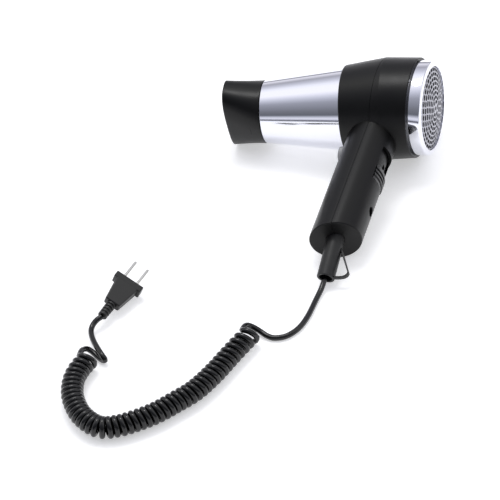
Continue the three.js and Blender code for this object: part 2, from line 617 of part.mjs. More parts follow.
// The plug points along its own +X and is wide along its own Y.
const plug = new THREE.Group();
plug.position.set(-128, -124.9, 11.6);
plug.rotation.set(
  THREE.MathUtils.degToRad(27), THREE.MathUtils.degToRad(-3), THREE.MathUtils.degToRad(71.4), "ZYX",
);
root.add(plug);
const FLANGE_WIDTH = 24;
const FLANGE_LENGTH = 5.5;
const PLUG_THICKNESS = 9;
const BODY_END = -26.8;
const taper = new THREE.Shape();
taper.moveTo(-FLANGE_LENGTH, -9.65);
taper.lineTo(-FLANGE_LENGTH, 9.65);
taper.lineTo(BODY_END, 6.4);
taper.lineTo(BODY_END, -6.4);
taper.closePath();
addMesh(plug, "plug_body", join(
  block(FLANGE_LENGTH, FLANGE_WIDTH, PLUG_THICKNESS, -FLANGE_LENGTH / 2, 0, 0),
  new THREE.ExtrudeGeometry(taper, { depth: PLUG_THICKNESS, bevelEnabled: false })
    .translate(0, 0, -PLUG_THICKNESS / 2),
), blackPlastic);
const BOOT_LENGTH = 13.6;
const bootRings = [1, 2, 3].flatMap((i) => {
  const x = BODY_END - GAP - i * 3.4;
  return [[x + 1.4, 3.9], [x + 1.2, 3.1], [x + 0.2, 3.1], [x, 3.9]];
});
addMesh(plug, "plug_boot", turned([
  [BODY_END - GAP, 0], [BODY_END - GAP, 3.9], ...bootRings,
  [BODY_END - GAP - BOOT_LENGTH, 3.9], [BODY_END - GAP - BOOT_LENGTH, 0],
], 12), blackRubber);
const PIN_SPACING = 11.2;
for (const [name, side] of [["plug_pin_1", -1], ["plug_pin_2", 1]]) {
  const pin = turned([[GAP, 0], [GAP, 1.15], [18, 1.15], [18.9, 0.6], [18.9, 0]], 16);
  addMesh(plug, name, pin.translate(0, (side * PIN_SPACING) / 2, 0), steel);
}

export default root;
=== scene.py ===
import json
import math

import bmesh
import bpy
from mathutils import Matrix, Vector


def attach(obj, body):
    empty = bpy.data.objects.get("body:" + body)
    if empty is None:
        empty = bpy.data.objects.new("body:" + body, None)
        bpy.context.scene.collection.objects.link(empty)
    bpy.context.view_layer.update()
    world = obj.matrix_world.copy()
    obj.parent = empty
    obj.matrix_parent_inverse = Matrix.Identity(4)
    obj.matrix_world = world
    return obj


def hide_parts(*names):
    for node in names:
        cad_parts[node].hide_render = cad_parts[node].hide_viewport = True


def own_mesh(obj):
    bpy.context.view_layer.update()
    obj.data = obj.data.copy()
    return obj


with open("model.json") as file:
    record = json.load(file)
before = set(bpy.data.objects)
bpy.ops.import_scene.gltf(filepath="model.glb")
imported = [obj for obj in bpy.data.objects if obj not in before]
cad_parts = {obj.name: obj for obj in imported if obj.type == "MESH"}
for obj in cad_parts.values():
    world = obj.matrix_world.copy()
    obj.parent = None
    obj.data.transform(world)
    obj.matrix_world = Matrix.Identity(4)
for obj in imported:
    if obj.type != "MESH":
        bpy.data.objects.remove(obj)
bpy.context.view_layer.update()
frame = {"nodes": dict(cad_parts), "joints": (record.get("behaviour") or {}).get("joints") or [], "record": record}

# ---- Camera ----------------------------------------------------------------------------------
# A long lens, looking down at the table from the front and a little from the right.
camera = bpy.data.objects.new("camera", bpy.data.cameras.new("camera"))
bpy.context.scene.collection.objects.link(camera)
camera.data.lens = 194.42
camera.data.sensor_width = 36
camera.data.clip_start = 0.1
camera.location = (0.3953, -1.6380, 1.3311)
azimuth, elevation, roll = (math.radians(a) for a in (15.68, 39.21, -7.55))
camera.rotation_euler = (
    Matrix.Rotation(azimuth, 3, "Z")
    @ Matrix.Rotation(math.pi / 2 - elevation, 3, "X")
    @ Matrix.Rotation(roll, 3, "Z")
).to_euler()
bpy.context.scene.camera = camera

# ---- Mains lead ------------------------------------------------------------------------------
# Round two-core flex with a black PVC sheath: a short straight stretch out of the handle's sleeve,
# a long stretch wound hot on a mandrel so that it springs back, and a tail into the plug.
CORD_RADIUS = 0.0022
CORD_SPACING = 0.0015
COIL_MEAN_RADIUS = 0.0064
COIL_TURNS = 47
COIL_AXIS_HEIGHT = 0.0091
AXIS_SPACING = 0.0005
POINTS_PER_TURN = 20
LEAD_ROUTE = [
    (0.0239, -0.0870, 0.0149), (0.0228, -0.0970, 0.0110), (0.0206, -0.1062, 0.0063),
    (0.0192, -0.1135, 0.0037), (0.0168, -0.1257, 0.0023), (0.0139, -0.1443, 0.0023),
    (0.0093, -0.1583, 0.0023), (0.0019, -0.1674, 0.0023), (-0.0066, -0.1703, 0.0023),
    (-0.0127, -0.1686, 0.0025), (-0.0180, -0.1656, 0.0036), (-0.0236, -0.1640, 0.0062),
    (-0.0276, -0.1653, 0.0092), (-0.0291, -0.1694, 0.0115),
]
COIL_ROUTE = [
    (-0.0241, -0.1755), (-0.0330, -0.1960), (-0.0427, -0.2199), (-0.0531, -0.2394),
    (-0.0646, -0.2526), (-0.0763, -0.2648), (-0.0886, -0.2739), (-0.1013, -0.2809),
    (-0.1150, -0.2831), (-0.1307, -0.2722), (-0.1415, -0.2547), (-0.1455, -0.2384),
    (-0.1449, -0.2257), (-0.1409, -0.2130),
]
TAIL_ROUTE = [
    (-0.1468, -0.2055, 0.0112), (-0.1464, -0.2005, 0.0084), (-0.1446, -0.1972, 0.0058),
    (-0.1404, -0.1984, 0.0038), (-0.1356, -0.2022, 0.0027), (-0.1312, -0.2056, 0.0029),
    (-0.1289, -0.2071, 0.0051), (-0.1314, -0.2049, 0.0074), (-0.1369, -0.1974, 0.0080),
    (-0.1418, -0.1893, 0.0073), (-0.1455, -0.1813, 0.0064), (-0.1471, -0.1750, 0.0062),
    (-0.1463, -0.1705, 0.0074), (-0.1440, -0.1670, 0.0088), (-0.1413, -0.1642, 0.0094),
]


def curve_through(points, spacing):
    """Evenly spaced points on a smooth curve through the given ones."""
    points = [Vector(p) for p in points]
    ends = [2 * points[0] - points[1], *points, 2 * points[-1] - points[-2]]
    dense = []
    for a, b, c, d in zip(ends, ends[1:], ends[2:], ends[3:]):
        for i in range(40):
            t = i / 40
            dense.append(
                0.5 * (2 * b + (c - a) * t + (2 * a - 5 * b + 4 * c - d) * t * t
                       + (3 * b - a - 3 * c + d) * t ** 3)
            )
    dense.append(points[-1])
    lengths = [0.0]
    for a, b in zip(dense, dense[1:]):
        lengths.append(lengths[-1] + (b - a).length)
    count = max(2, round(lengths[-1] / spacing))
    even, i = [], 0
    for k in range(count + 1):
        goal = lengths[-1] * k / count
        while i < len(lengths) - 2 and lengths[i + 1] < goal:
            i += 1
        share = (goal - lengths[i]) / (lengths[i + 1] - lengths[i])
        even.append(dense[i].lerp(dense[i + 1], share))
    return even


axis_points = curve_through([(x, y, COIL_AXIS_HEIGHT) for x, y in COIL_ROUTE], AXIS_SPACING)
axis_length = AXIS_SPACING * (len(axis_points) - 1)


def axis_at(s):
    """The coil's axis and its direction at s metres along it."""
    place = min(max(s / AXIS_SPACING, 0.0), len(axis_points) - 1.001)
    i = int(place)
    along = (axis_points[i + 1] - axis_points[i]).normalized()
    return axis_points[i].lerp(axis_points[i + 1], place - i), along


def wound_length(turns):
    """How far the winding has come after so many turns, in pitches of its tight middle: its turns
    are a little further apart towards both ends."""
    start = 2.6 * (1 - math.exp(-turns / 5))
    end = math.exp((turns - COIL_TURNS) / 5) - math.exp(-COIL_TURNS / 5)
    return turns + start + end


# The winding runs over the top towards the left, nearly square to its axis there, and moves on to
# the next turn underneath. Each turn also leans, its top towards the front of the table. The
# winding starts a little before the top and stops as far past it.
ADVANCE_BELOW = 0.25
TURN_LEAN = 0.5
PAST_THE_TOP = 0.15
coil_points = []
first = round(-PAST_THE_TOP * POINTS_PER_TURN)
last = round((COIL_TURNS + PAST_THE_TOP) * POINTS_PER_TURN)
for i in range(first, last + 1):
    turns = i / POINTS_PER_TURN
    past_top = 2 * math.pi * turns
    along = axis_at(axis_length * turns / COIL_TURNS)[1]
    leaning = (turns - ADVANCE_BELOW * math.sin(past_top)
               - TURN_LEAN * along.y * math.cos(past_top))
    centre, along = axis_at(axis_length * wound_length(leaning) / wound_length(COIL_TURNS))
    side = Vector((-along.y, along.x, 0))
    outward = Vector((0, 0, math.cos(past_top))) + math.sin(past_top) * side
    coil_points.append(centre + COIL_MEAN_RADIUS * outward)
cord_points = (
    curve_through(LEAD_ROUTE + coil_points[:2], CORD_SPACING)[:-2]
    + coil_points[1:-1]
    + curve_through(coil_points[-2:] + TAIL_ROUTE, CORD_SPACING)[2:]
)
flex_curve = bpy.data.curves.new("mains_flex", "CURVE")
flex_curve.dimensions = "3D"
flex_curve.bevel_depth = CORD_RADIUS
flex_curve.bevel_resolution = 5
flex_curve.use_fill_caps = True
spline = flex_curve.splines.new("POLY")
spline.points.add(len(cord_points) - 1)
for point, place in zip(spline.points, cord_points):
    point.co = (*place, 1)
spline.use_smooth = True
flex = bpy.data.objects.new("mains_flex", flex_curve)
bpy.context.scene.collection.objects.link(flex)


def linear(hex_code):
    """An sRGB hex value as a linear colour."""
    channels = [int(hex_code[i:i + 2], 16) / 255 for i in (1, 3, 5)]
    return (*[c / 12.92 if c <= 0.04045 else ((c + 0.055) / 1.055) ** 2.4 for c in channels], 1)


def add(tree, kind, sockets=None, **settings):
    """Adds a node: its settings by name, its sockets by value or by the socket linked to them."""
    node = tree.nodes.new(kind)
    for name, value in settings.items():
        setattr(node, name, value)
    for name, value in (sockets or {}).items():
        if isinstance(value, bpy.types.NodeSocket):
            tree.links.new(value, node.inputs[name])
        else:
            node.inputs[name].default_value = value
    return node


def surface(name, colour, spread, patch, roughness, grain, bump, **shader):
    """A material: a base colour that drifts by spread over patches of the given size, a roughness
    that drifts between two values, and a fine relief. Sizes are in millimetres."""
    material = bpy.data.materials.new(name)
    material.use_nodes = True
    tree = material.node_tree
    shade = tree.nodes["Principled BSDF"]
    where = add(tree, "ShaderNodeTexCoord").outputs["Object"]
    clouds = add(tree, "ShaderNodeTexNoise", {"Vector": where, "Scale": 1000 / patch, "Detail": 3})
    base = linear(colour)
    tints = [(*[min(1, c * k) for c in base[:3]], 1) for k in (1 - spread, 1 + spread)]
    tint = add(tree, "ShaderNodeMix", {0: clouds.outputs["Fac"], 6: tints[0], 7: tints[1]},
               data_type="RGBA")
    tree.links.new(tint.outputs[2], shade.inputs["Base Color"])
    wear = add(tree, "ShaderNodeTexNoise", {"Vector": where, "Scale": 2600 / patch, "Detail": 4})
    gloss = add(tree, "ShaderNodeMapRange", {
        "Value": wear.outputs["Fac"], "From Min": 0.3, "From Max": 0.7,
        "To Min": roughness[0], "To Max": roughness[1],
    })
    tree.links.new(gloss.outputs["Result"], shade.inputs["Roughness"])
    fine = add(tree, "ShaderNodeTexNoise", {"Vector": where, "Scale": 1000 / grain, "Detail": 2})
    relief = add(tree, "ShaderNodeBump", {
        "Height": fine.outputs["Fac"], "Strength": 0.35, "Distance": bump / 1000,
    })
    tree.links.new(relief.outputs["Normal"], shade.inputs["Normal"])
    for socket, value in shader.items():
        shade.inputs[socket.replace("_", " ")].default_value = value
    return material


# Extruded PVC sheath: smooth, quite glossy, with slight flow waves of a few millimetres.
pvc_sheath = surface("glossy_pvc_sheath", "#050505", 0.15, 12, (0.13, 0.2), 1.5, 0.01)
flex_curve.materials.append(pvc_sheath)
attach(flex, "body")
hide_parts("cord_lead", "cord_coil", "cord_tail")

# ---- Plug ------------------------------------------------------------------------------------
# Moulded on in one shot of PVC: a wide flange, a tapering grip with a sunk band on each narrow
# side, and a ribbed boot that lets the flex bend. Two round nickel-plated brass pins.
PLUG_ROLL = math.radians(27)
FLANGE_SIZE = (5.5, 24, 9)
GRIP_END, GRIP_LENGTH = -26.8, 25.3
PIN_RADIUS, PIN_LENGTH, PIN_SPACING = 1.13, 18.9, 11.2
BOOT_RIBS = 4
mounts = {m["name"]: m for m in frame["record"]["mounts"]}
forward = Vector(mounts["plug_face"]["axis"]).normalized()
level = Vector((-forward.y, forward.x, 0)).normalized()
across = math.cos(PLUG_ROLL) * level + math.sin(PLUG_ROLL) * forward.cross(level)


def frame_of(x, y, origin):
    """The matrix that takes millimetres along x, y and their normal to metres in the room."""
    z = x.cross(y)
    turn = Matrix((x, y, z)).transposed().to_4x4()
    return Matrix.Translation(origin) @ turn @ Matrix.Scale(0.001, 4)


plug_place = frame_of(forward, across, Vector(mounts["plug_face"]["pos_m"]))


def as_object(bm, name):
    """Turns a finished bmesh into an object in the scene."""
    mesh = bpy.data.meshes.new(name)
    bmesh.ops.recalc_face_normals(bm, faces=bm.faces)
    bm.to_mesh(mesh)
    bm.free()
    thing = bpy.data.objects.new(name, mesh)
    bpy.context.scene.collection.objects.link(thing)
    return thing


def combine(thing, bm, operation):
    """Joins a solid to the piece, cuts it out of it, or keeps what they share."""
    tool = as_object(bm, "tool")
    step = thing.modifiers.new("combine", "BOOLEAN")
    step.operation = operation
    step.solver = "EXACT"
    step.object = tool
    bpy.context.view_layer.update()
    graph = bpy.context.evaluated_depsgraph_get()
    made = bpy.data.meshes.new_from_object(thing.evaluated_get(graph))
    thing.modifiers.clear()
    thing.data = made
    bpy.data.objects.remove(tool)
    return thing


def settle(thing, place, material, body, slot, *nodes, angle=32, weighted=False):
    """Puts a finished piece in the room, smooths it up to the given edge angle, and ties it on."""
    thing.data.transform(place)
    thing.data.shade_smooth()
    thing.data.set_sharp_from_angle(angle=math.radians(angle))
    if weighted:
        thing.modifiers.new("even_shading", "WEIGHTED_NORMAL").keep_sharp = True
    thing.data.materials.clear()
    thing.data.materials.append(material)
    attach(thing, body)
    if nodes:
        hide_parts(*nodes)
    return thing


def rounded_block(size, centre, radius, segments=3):
    """A block with its edges rounded to the radius, or left sharp where that is 0."""
    bm = bmesh.new()
    bmesh.ops.create_cube(bm, size=1)
    bmesh.ops.scale(bm, vec=size, verts=bm.verts)
    bmesh.ops.translate(bm, vec=centre, verts=bm.verts)
    if radius:
        bmesh.ops.bevel(bm, geom=bm.edges[:], offset=radius, segments=segments, profile=0.5,
                        affect="EDGES", material=-1)
    return bm


def corner_curve(start, corner, end, steps):
    """Points on a smooth curve from start to end that bends towards the corner between them."""
    points = []
    for k in range(steps + 1):
        t = k / steps
        points.append((1 - t) ** 2 * start + 2 * t * (1 - t) * corner + t * t * end)
    return points


def spun(profile, steps=96, about="X", angle=2 * math.pi):
    """A turned solid from (place along the axis, radius) points that start and end on the axis,
    or that close on themselves. A point with a third value has its corner rounded to that."""
    line = []
    for i, (x, r, *fillet) in enumerate(profile):
        if not fillet:
            line.append(Vector((x, r)))
            continue
        here = Vector((x, r))
        before = (Vector(profile[i - 1][:2]) - here).normalized()
        after = (Vector(profile[(i + 1) % len(profile)][:2]) - here).normalized()
        reach = fillet[0] / math.tan(before.angle(after) / 2)
        line += corner_curve(here + before * reach, here, here + after * reach, 5)
    bm = bmesh.new()
    verts = [bm.verts.new((p.x, 0, p.y) if about == "X" else (p.y, 0, p.x)) for p in line]
    edges = [bm.edges.new(pair) for pair in zip(verts, verts[1:])]
    if line[0].y > 1e-6:
        edges.append(bm.edges.new((verts[-1], verts[0])))
    axis = (1, 0, 0) if about == "X" else (0, 0, 1)
    if angle < 2 * math.pi:
        bm.faces.new(verts)
        bmesh.ops.rotate(bm, matrix=Matrix.Rotation(-angle / 2, 3, axis), verts=bm.verts)
        bmesh.ops.spin(bm, geom=bm.faces[:], cent=(0, 0, 0), axis=axis, angle=angle, steps=steps)
    else:
        bmesh.ops.spin(bm, geom=verts + edges, cent=(0, 0, 0), axis=axis, angle=angle,
                       steps=steps, use_merge=True)
    bmesh.ops.remove_doubles(bm, verts=bm.verts, dist=1e-4)
    bmesh.ops.recalc_face_normals(bm, faces=bm.faces)
    return bm


# PVC straight from the mould, with a fine texture that makes it duller than the extruded sheath.
moulded_pvc = surface("moulded_pvc", "#131312", 0.1, 9, (0.34, 0.44), 0.5, 0.02)
grip = rounded_block((GRIP_LENGTH, 2, 8.8), (GRIP_END + GRIP_LENGTH / 2, 0, 0), 0)
for vertex in grip.verts:
    near = (vertex.co.x - GRIP_END) / (-FLANGE_SIZE[0] - GRIP_END)
    vertex.co.y *= 6.4 + near * 3.25
    vertex.co.z *= 0.86 + 0.14 * near
bmesh.ops.bevel(grip, geom=grip.edges[:], offset=1.1, segments=4, profile=0.5, affect="EDGES",
                material=-1)
plug_body = as_object(grip, "plug_body")
combine(plug_body, rounded_block(FLANGE_SIZE, (-FLANGE_SIZE[0] / 2, 0, 0), 0.7, 4), "UNION")
for side in (-1, 1):
    band = rounded_block((17, 1.6, 3.2), (-16, side * 8.75, 0), 0.5)
    bmesh.ops.rotate(band, cent=(-16, side * 8.75, 0), verts=band.verts,
                     matrix=Matrix.Rotation(side * 0.151, 3, "Z"))
    combine(plug_body, band, "DIFFERENCE")
settle(plug_body, plug_place, moulded_pvc, "body", "satin_black_plastic", "plug_body",
       weighted=True)

boot_profile = [(-27.1, 0), (-27.1, 4.0, 0.4)]
for i in range(BOOT_RIBS):
    x = -28.6 - 2.9 * i
    width = 3.95 - 0.08 * i
    boot_profile += [(x, width, 0.3), (x - 0.15, 2.9, 0.2), (x - 1.2, 2.9, 0.2),
                     (x - 1.35, width, 0.3)]
boot_profile += [(-40.65, 3.7, 0.5), (-40.65, 0)]
plug_boot = as_object(spun(boot_profile, 48), "plug_boot")
settle(plug_boot, plug_place, moulded_pvc, "body", "black_rubber", "plug_boot")

# Nickel plate on turned brass: warm grey, with a soft shine from its fine turning marks.
nickel_plate = surface("nickel_plated_brass", "#c9c8c4", 0.06, 6, (0.16, 0.26), 0.3, 0.004,
                       Metallic=1.0)
for number, side in ((1, -1), (2, 1)):
    pin = spun([(-2, 0), (-2, PIN_RADIUS), (PIN_LENGTH, PIN_RADIUS, 0.8), (PIN_LENGTH, 0)], 32)
    bmesh.ops.translate(pin, vec=(0, side * PIN_SPACING / 2, 0), verts=pin.verts)
    piece = as_object(pin, f"plug_pin_{number}")
    settle(piece, plug_place, nickel_plate, "body", "bright_steel",
                       f"plug_pin_{number}")

# ---- Housing and handle ----------------------------------------------------------------------
# Two satin-black ABS mouldings, front and rear, that meet in the plane of the handle's axis and
# are held by one screw. The rear rim is cut a little out of square and the handle's end more so.
# Places are in millimetres from the crossing of the barrel's and the handle's axes.
HANDLE_LENGTH, HANDLE_RADIUS, WALL = 144.5, 19.85, 2.4
HANDLE_LEAN, SLEEVE_DROOP = math.radians(7.7), math.radians(12.8)
END_TILT = math.radians(14.1)
REAR_CUT, REAR_TILT = 28.2, math.radians(6.3)
BUTTON_HEIGHT, SCREW_HEIGHT = -53.8, -112
FAN_PLACE = 10
joints = {j["name"]: j for j in frame["joints"]}
barrel_axis = Vector(joints["fan_spin"]["axis"]).normalized()
handle_up = Vector(joints["switch_slide"]["axis"]).normalized()
handle_back = Vector(joints["button_press"]["axis"]).normalized()
cap_out = Vector(joints["cap_pull"]["axis"]).normalized()
dryer_side = handle_up.cross(handle_back).normalized()
crossing = Vector(joints["fan_spin"]["pos_m"]) - FAN_PLACE / 1000 * barrel_axis
dryer_place = frame_of(barrel_axis, dryer_side, crossing)
handle_place = frame_of(handle_back, dryer_side, crossing)
cap_place = frame_of(cap_out, dryer_side, crossing + REAR_CUT / 1000 * barrel_axis)
to_handle = Matrix.Rotation(HANDLE_LEAN, 3, "Y")


def cut_and_cap(bm, point, normal, rounding):
    """Cuts the end off a solid, closes it and rounds the new edge."""
    geometry = bm.verts[:] + bm.edges[:] + bm.faces[:]
    bmesh.ops.bisect_plane(bm, geom=geometry, plane_co=point, plane_no=normal, clear_outer=True)
    rim = [e for e in bm.edges if e.is_boundary]
    bmesh.ops.edgeloop_fill(bm, edges=rim)
    bmesh.ops.bevel(bm, geom=[e for e in rim if e.is_valid], offset=rounding, segments=4,
                    profile=0.5, affect="EDGES", material=-1)
    bmesh.ops.recalc_face_normals(bm, faces=bm.faces)
    return bm


def handle_part(bm):
    """Turns a solid made along the handle to the handle's lean."""
    bmesh.ops.rotate(bm, matrix=to_handle, verts=bm.verts)
    return bm


housing = spun([(-30.5, 0), (-30.5, 35.7, 1.8), (3.4, 41, 3), (46, 39.35), (46, 0)], 160)
rear_normal = Vector((math.cos(REAR_TILT), 0, -math.sin(REAR_TILT)))
cut_and_cap(housing, (REAR_CUT, 0, 0), rear_normal, 0.7)
shell = as_object(housing, "housing")
grip_tube = spun([(-170, 0), (-170, HANDLE_RADIUS), (0, HANDLE_RADIUS), (0, 0)], 128, "Z")
end_normal = Vector((math.sin(END_TILT), 0, -math.cos(END_TILT)))
cut_and_cap(grip_tube, (0, 0, -HANDLE_LENGTH), end_normal, 1.0)
combine(shell, handle_part(grip_tube), "UNION")

# The chamber, the rear cap's seat, the handle's bore, and the sleeve's hole in the handle's end.
chamber = spun([
    (-40, 0), (-40, 34.2), (-24, 34.2), (3.4, 41 - WALL), (46, 39.3 - WALL), (46, 0),
], 96)
cut_and_cap(chamber, (REAR_CUT - WALL, 0, 0), rear_normal, 0.3)
combine(shell, chamber, "DIFFERENCE")
cap_seat = spun([(-8, 0), (-8, 36.4), (20, 36.4), (20, 0)], 128)
bmesh.ops.rotate(cap_seat, matrix=Matrix.Rotation(REAR_TILT, 3, "Y"), verts=cap_seat.verts)
bmesh.ops.translate(cap_seat, vec=(REAR_CUT, 0, 0), verts=cap_seat.verts)
combine(shell, cap_seat, "DIFFERENCE")
bore = spun([
    (-170, 0), (-170, HANDLE_RADIUS - WALL), (-20, HANDLE_RADIUS - WALL), (-20, 0),
], 64, "Z")
cut_and_cap(bore, (0, 0, -HANDLE_LENGTH + WALL / math.cos(END_TILT)), end_normal, 0.3)
combine(shell, handle_part(bore), "DIFFERENCE")
sleeve_hole = spun([(-20, 0), (-20, 7.3), (12, 7.3), (12, 0)], 48, "Z")
bmesh.ops.rotate(sleeve_hole, matrix=Matrix.Rotation(SLEEVE_DROOP, 3, "X"),
                 verts=sleeve_hole.verts)
bmesh.ops.translate(sleeve_hole, vec=(0, 0, -HANDLE_LENGTH), verts=sleeve_hole.verts)
combine(shell, handle_part(sleeve_hole), "DIFFERENCE")

# The switch's window, the button's hole, and the screw's tower with its well.
window = rounded_block((20, 24, 34.5), (22, 0, -69.75), 0)
corners = [e for e in window.edges if abs(e.verts[0].co.x - e.verts[1].co.x) > 1]
bmesh.ops.bevel(window, geom=corners, offset=1.2, segments=4, profile=0.5, affect="EDGES",
                material=-1)
combine(shell, handle_part(window), "DIFFERENCE")
button_hole = spun([
    (-30, 0), (-30, 6.9), (-19.6, 6.9, 0.3), (-19.2, 6.6), (-10, 6.6), (-10, 0),
], 64)
bmesh.ops.translate(button_hole, vec=(0, 0, BUTTON_HEIGHT), verts=button_hole.verts)
combine(shell, handle_part(button_hole), "DIFFERENCE")
tower = spun([(0.3, 0), (0.3, 4.6), (18.6, 4.6), (18.6, 0)], 40)
bmesh.ops.translate(tower, vec=(0, 0, SCREW_HEIGHT), verts=tower.verts)
combine(shell, handle_part(tower), "UNION")
recess = spun([(8, 0), (8, 3.8), (19.3, 3.8, 0.3), (19.9, 4.3), (30, 4.3), (30, 0)], 48)
bmesh.ops.translate(recess, vec=(0, 0, SCREW_HEIGHT), verts=recess.verts)
combine(shell, handle_part(recess), "DIFFERENCE")
screw_way = spun([(-14, 0), (-14, 1.7), (12, 1.7), (12, 0)], 24)
bmesh.ops.translate(screw_way, vec=(0, 0, SCREW_HEIGHT), verts=screw_way.verts)
combine(shell, handle_part(screw_way), "DIFFERENCE")

# Satin ABS from a spark-eroded mould: a grain of about 0.3 mm, a shade glossier where hands rub.
satin_abs = surface("satin_moulded_abs", "#060606", 0.1, 40, (0.3, 0.37), 0.32, 0.02,
                    Specular_IOR_Level=0.27)
for name, side in (("front_shell", -1), ("rear_shell", 1)):
    half = bpy.data.objects.new(name, shell.data.copy())
    bpy.context.scene.collection.objects.link(half)
    keep = rounded_block((400, 400, 400), (side * 200.15, 0, 0), 0)
    combine(half, handle_part(keep), "INTERSECT")
    edge = half.modifiers.new("soft_edges", "BEVEL")
    edge.width, edge.segments, edge.angle_limit = 0.00025, 2, math.radians(50)
    settle(half, dryer_place, satin_abs, "body", "satin_black_plastic", name, weighted=True)
bpy.data.objects.remove(shell)

# ---- Handle screw ----------------------------------------------------------------------------
# A zinc-plated pan-head screw with a cross recess, at the bottom of its well in the rear shell.
# Bright zinc is a pale blue-grey with a slightly cloudy shine.
zinc_plate = surface("zinc_plated_steel", "#9fa1a4", 0.08, 3, (0.25, 0.4), 0.3, 0.004,
                     Metallic=1.0)
screw = as_object(spun([(-20, 0), (-20, 1.4), (0, 1.4), (0, 3.4), (2.4, 3.4, 0.8), (2.4, 0)], 40),
                  "handle_screw")
for size in ((3, 0.8, 4.2), (3, 4.2, 0.8)):
    combine(screw, rounded_block(size, (2.9, 0, 0), 0), "DIFFERENCE")
screw.data.transform(Matrix.Translation((8.3, 0, SCREW_HEIGHT)))
settle(screw, handle_place, zinc_plate, "body", "bright_steel", "handle_screw")

# ---- Barrel ----------------------------------------------------------------------------------
# A tapered sleeve of bright chrome plate over a moulded core, its front edge rolled in. The plate
# is a near mirror that blurs edges slightly and has a cool tint.
chrome_plate = surface("bright_chrome_plate", "#ebecf4", 0.01, 50, (0.05, 0.09), 60, 0.002,
                       Metallic=1.0)
barrel = as_object(spun([
    (-97, 24), (-97, 25.5, 0.45), (-24.5, 33.9), (-24.5, 33.1), (-96.2, 24.8), (-96.2, 24),
], 192), "barrel_sleeve")
settle(barrel, dryer_place, chrome_plate, "body", "chrome_plate", "barrel_sleeve", angle=25)

# ---- Air outlet and heater -------------------------------------------------------------------
# Inside the barrel: a collar that carries the nozzle, a spot-welded finger guard, a mica tube,
# crossed mica boards and the winding of resistance wire on them.

# Glass-filled nylon: black, with a faint grey bloom from the fibres at its skin.
heat_black = surface("glass_filled_nylon", "#17171a", 0.12, 8, (0.3, 0.42), 0.4, 0.02)
collar = as_object(spun([
    (-106, 20.8), (-106, 22.6, 0.5), (-95.8, 22.6), (-95.8, 24.3), (-94.2, 24.3), (-94.2, 20.8),
], 96), "outlet_collar")
settle(collar, dryer_place, heat_black, "body", "gloss_black_plastic", "outlet_collar")
guard = as_object(spun([
    (-93.8, 21.6), (-93.8, 23.2), (-92, 23.2), (-92, 21.6),
], 96), "outlet_guard")
combine(guard, spun([(-93.6, 9), (-93.6, 10.4, 0.3), (-92.2, 10.4, 0.3), (-92.2, 9)], 64), "UNION")
for i in range(4):
    bar = rounded_block((1.4, 1.2, 45), (-92.9, 0, 0), 0.25)
    bmesh.ops.rotate(bar, matrix=Matrix.Rotation(i * math.pi / 4, 3, "X"), verts=bar.verts)
    combine(guard, bar, "UNION")
settle(guard, dryer_place, zinc_plate, "body", "bright_steel", "outlet_guard")

# The finishes inside: pressed mica paper, pale buff with darker flakes a few millimetres across;
# nickel-chrome wire browned by heat; milky nylon; dull drawn steel; oil-soaked bronze; green
# lacquered board; and the coloured PVC of the leads.
mica_sheet = surface("pressed_mica", "#b9a98b", 0.25, 2.5, (0.45, 0.7), 0.8, 0.03)
wire = surface("resistance_wire", "#6d665e", 0.2, 4, (0.3, 0.45), 0.3, 0.01, Metallic=1.0)
nylon = surface("natural_nylon", "#d6d4ca", 0.05, 8, (0.4, 0.55), 0.5, 0.02)
drawn_steel = surface("drawn_steel", "#8f9194", 0.08, 5, (0.28, 0.4), 0.25, 0.01, Metallic=1.0)
bronze = surface("sintered_bronze", "#a9864a", 0.12, 1.5, (0.35, 0.5), 0.2, 0.02, Metallic=1.0)
board = surface("circuit_board", "#2c5a38", 0.15, 4, (0.3, 0.45), 0.5, 0.02)
brown_pvc = surface("brown_wire_pvc", "#553420", 0.1, 3, (0.35, 0.45), 0.5, 0.01)
blue_pvc = surface("blue_wire_pvc", "#234b86", 0.1, 3, (0.35, 0.45), 0.5, 0.01)
inside = {
    mica_sheet: ["mica_tube", "mica_board_full", "mica_board_left", "mica_board_right"],
    drawn_steel: ["thermal_cutout", "motor_can", "motor_magnet_left", "motor_magnet_right",
                  "motor_shaft", "nozzle_snap_ring"],
    wire: ["motor_rotor"],
    nylon: ["thermal_fuse", "switch_body", "cord_clamp"],
    heat_black: ["air_guide", "motor_end_bell", "microswitch"],
    bronze: ["front_bearing", "rear_bearing"],
    board: ["rectifier_board"],
    brown_pvc: ["live_lead", "motor_lead"],
    blue_pvc: ["neutral_lead"],
    pvc_sheath: ["inner_flex"],
}
for material, names in inside.items():
    for name in names:
        slots = frame["nodes"][name].data.materials
        slots.clear()
        slots.append(material)


def as_mesh(curve, name):
    """Turns a finished curve into a mesh object in the scene."""
    holder = bpy.data.objects.new("holder", curve)
    bpy.context.scene.collection.objects.link(holder)
    bpy.context.view_layer.update()
    graph = bpy.context.evaluated_depsgraph_get()
    mesh = bpy.data.meshes.new_from_object(holder.evaluated_get(graph))
    bpy.data.objects.remove(holder)
    thing = bpy.data.objects.new(name, mesh)
    bpy.context.scene.collection.objects.link(thing)
    return thing


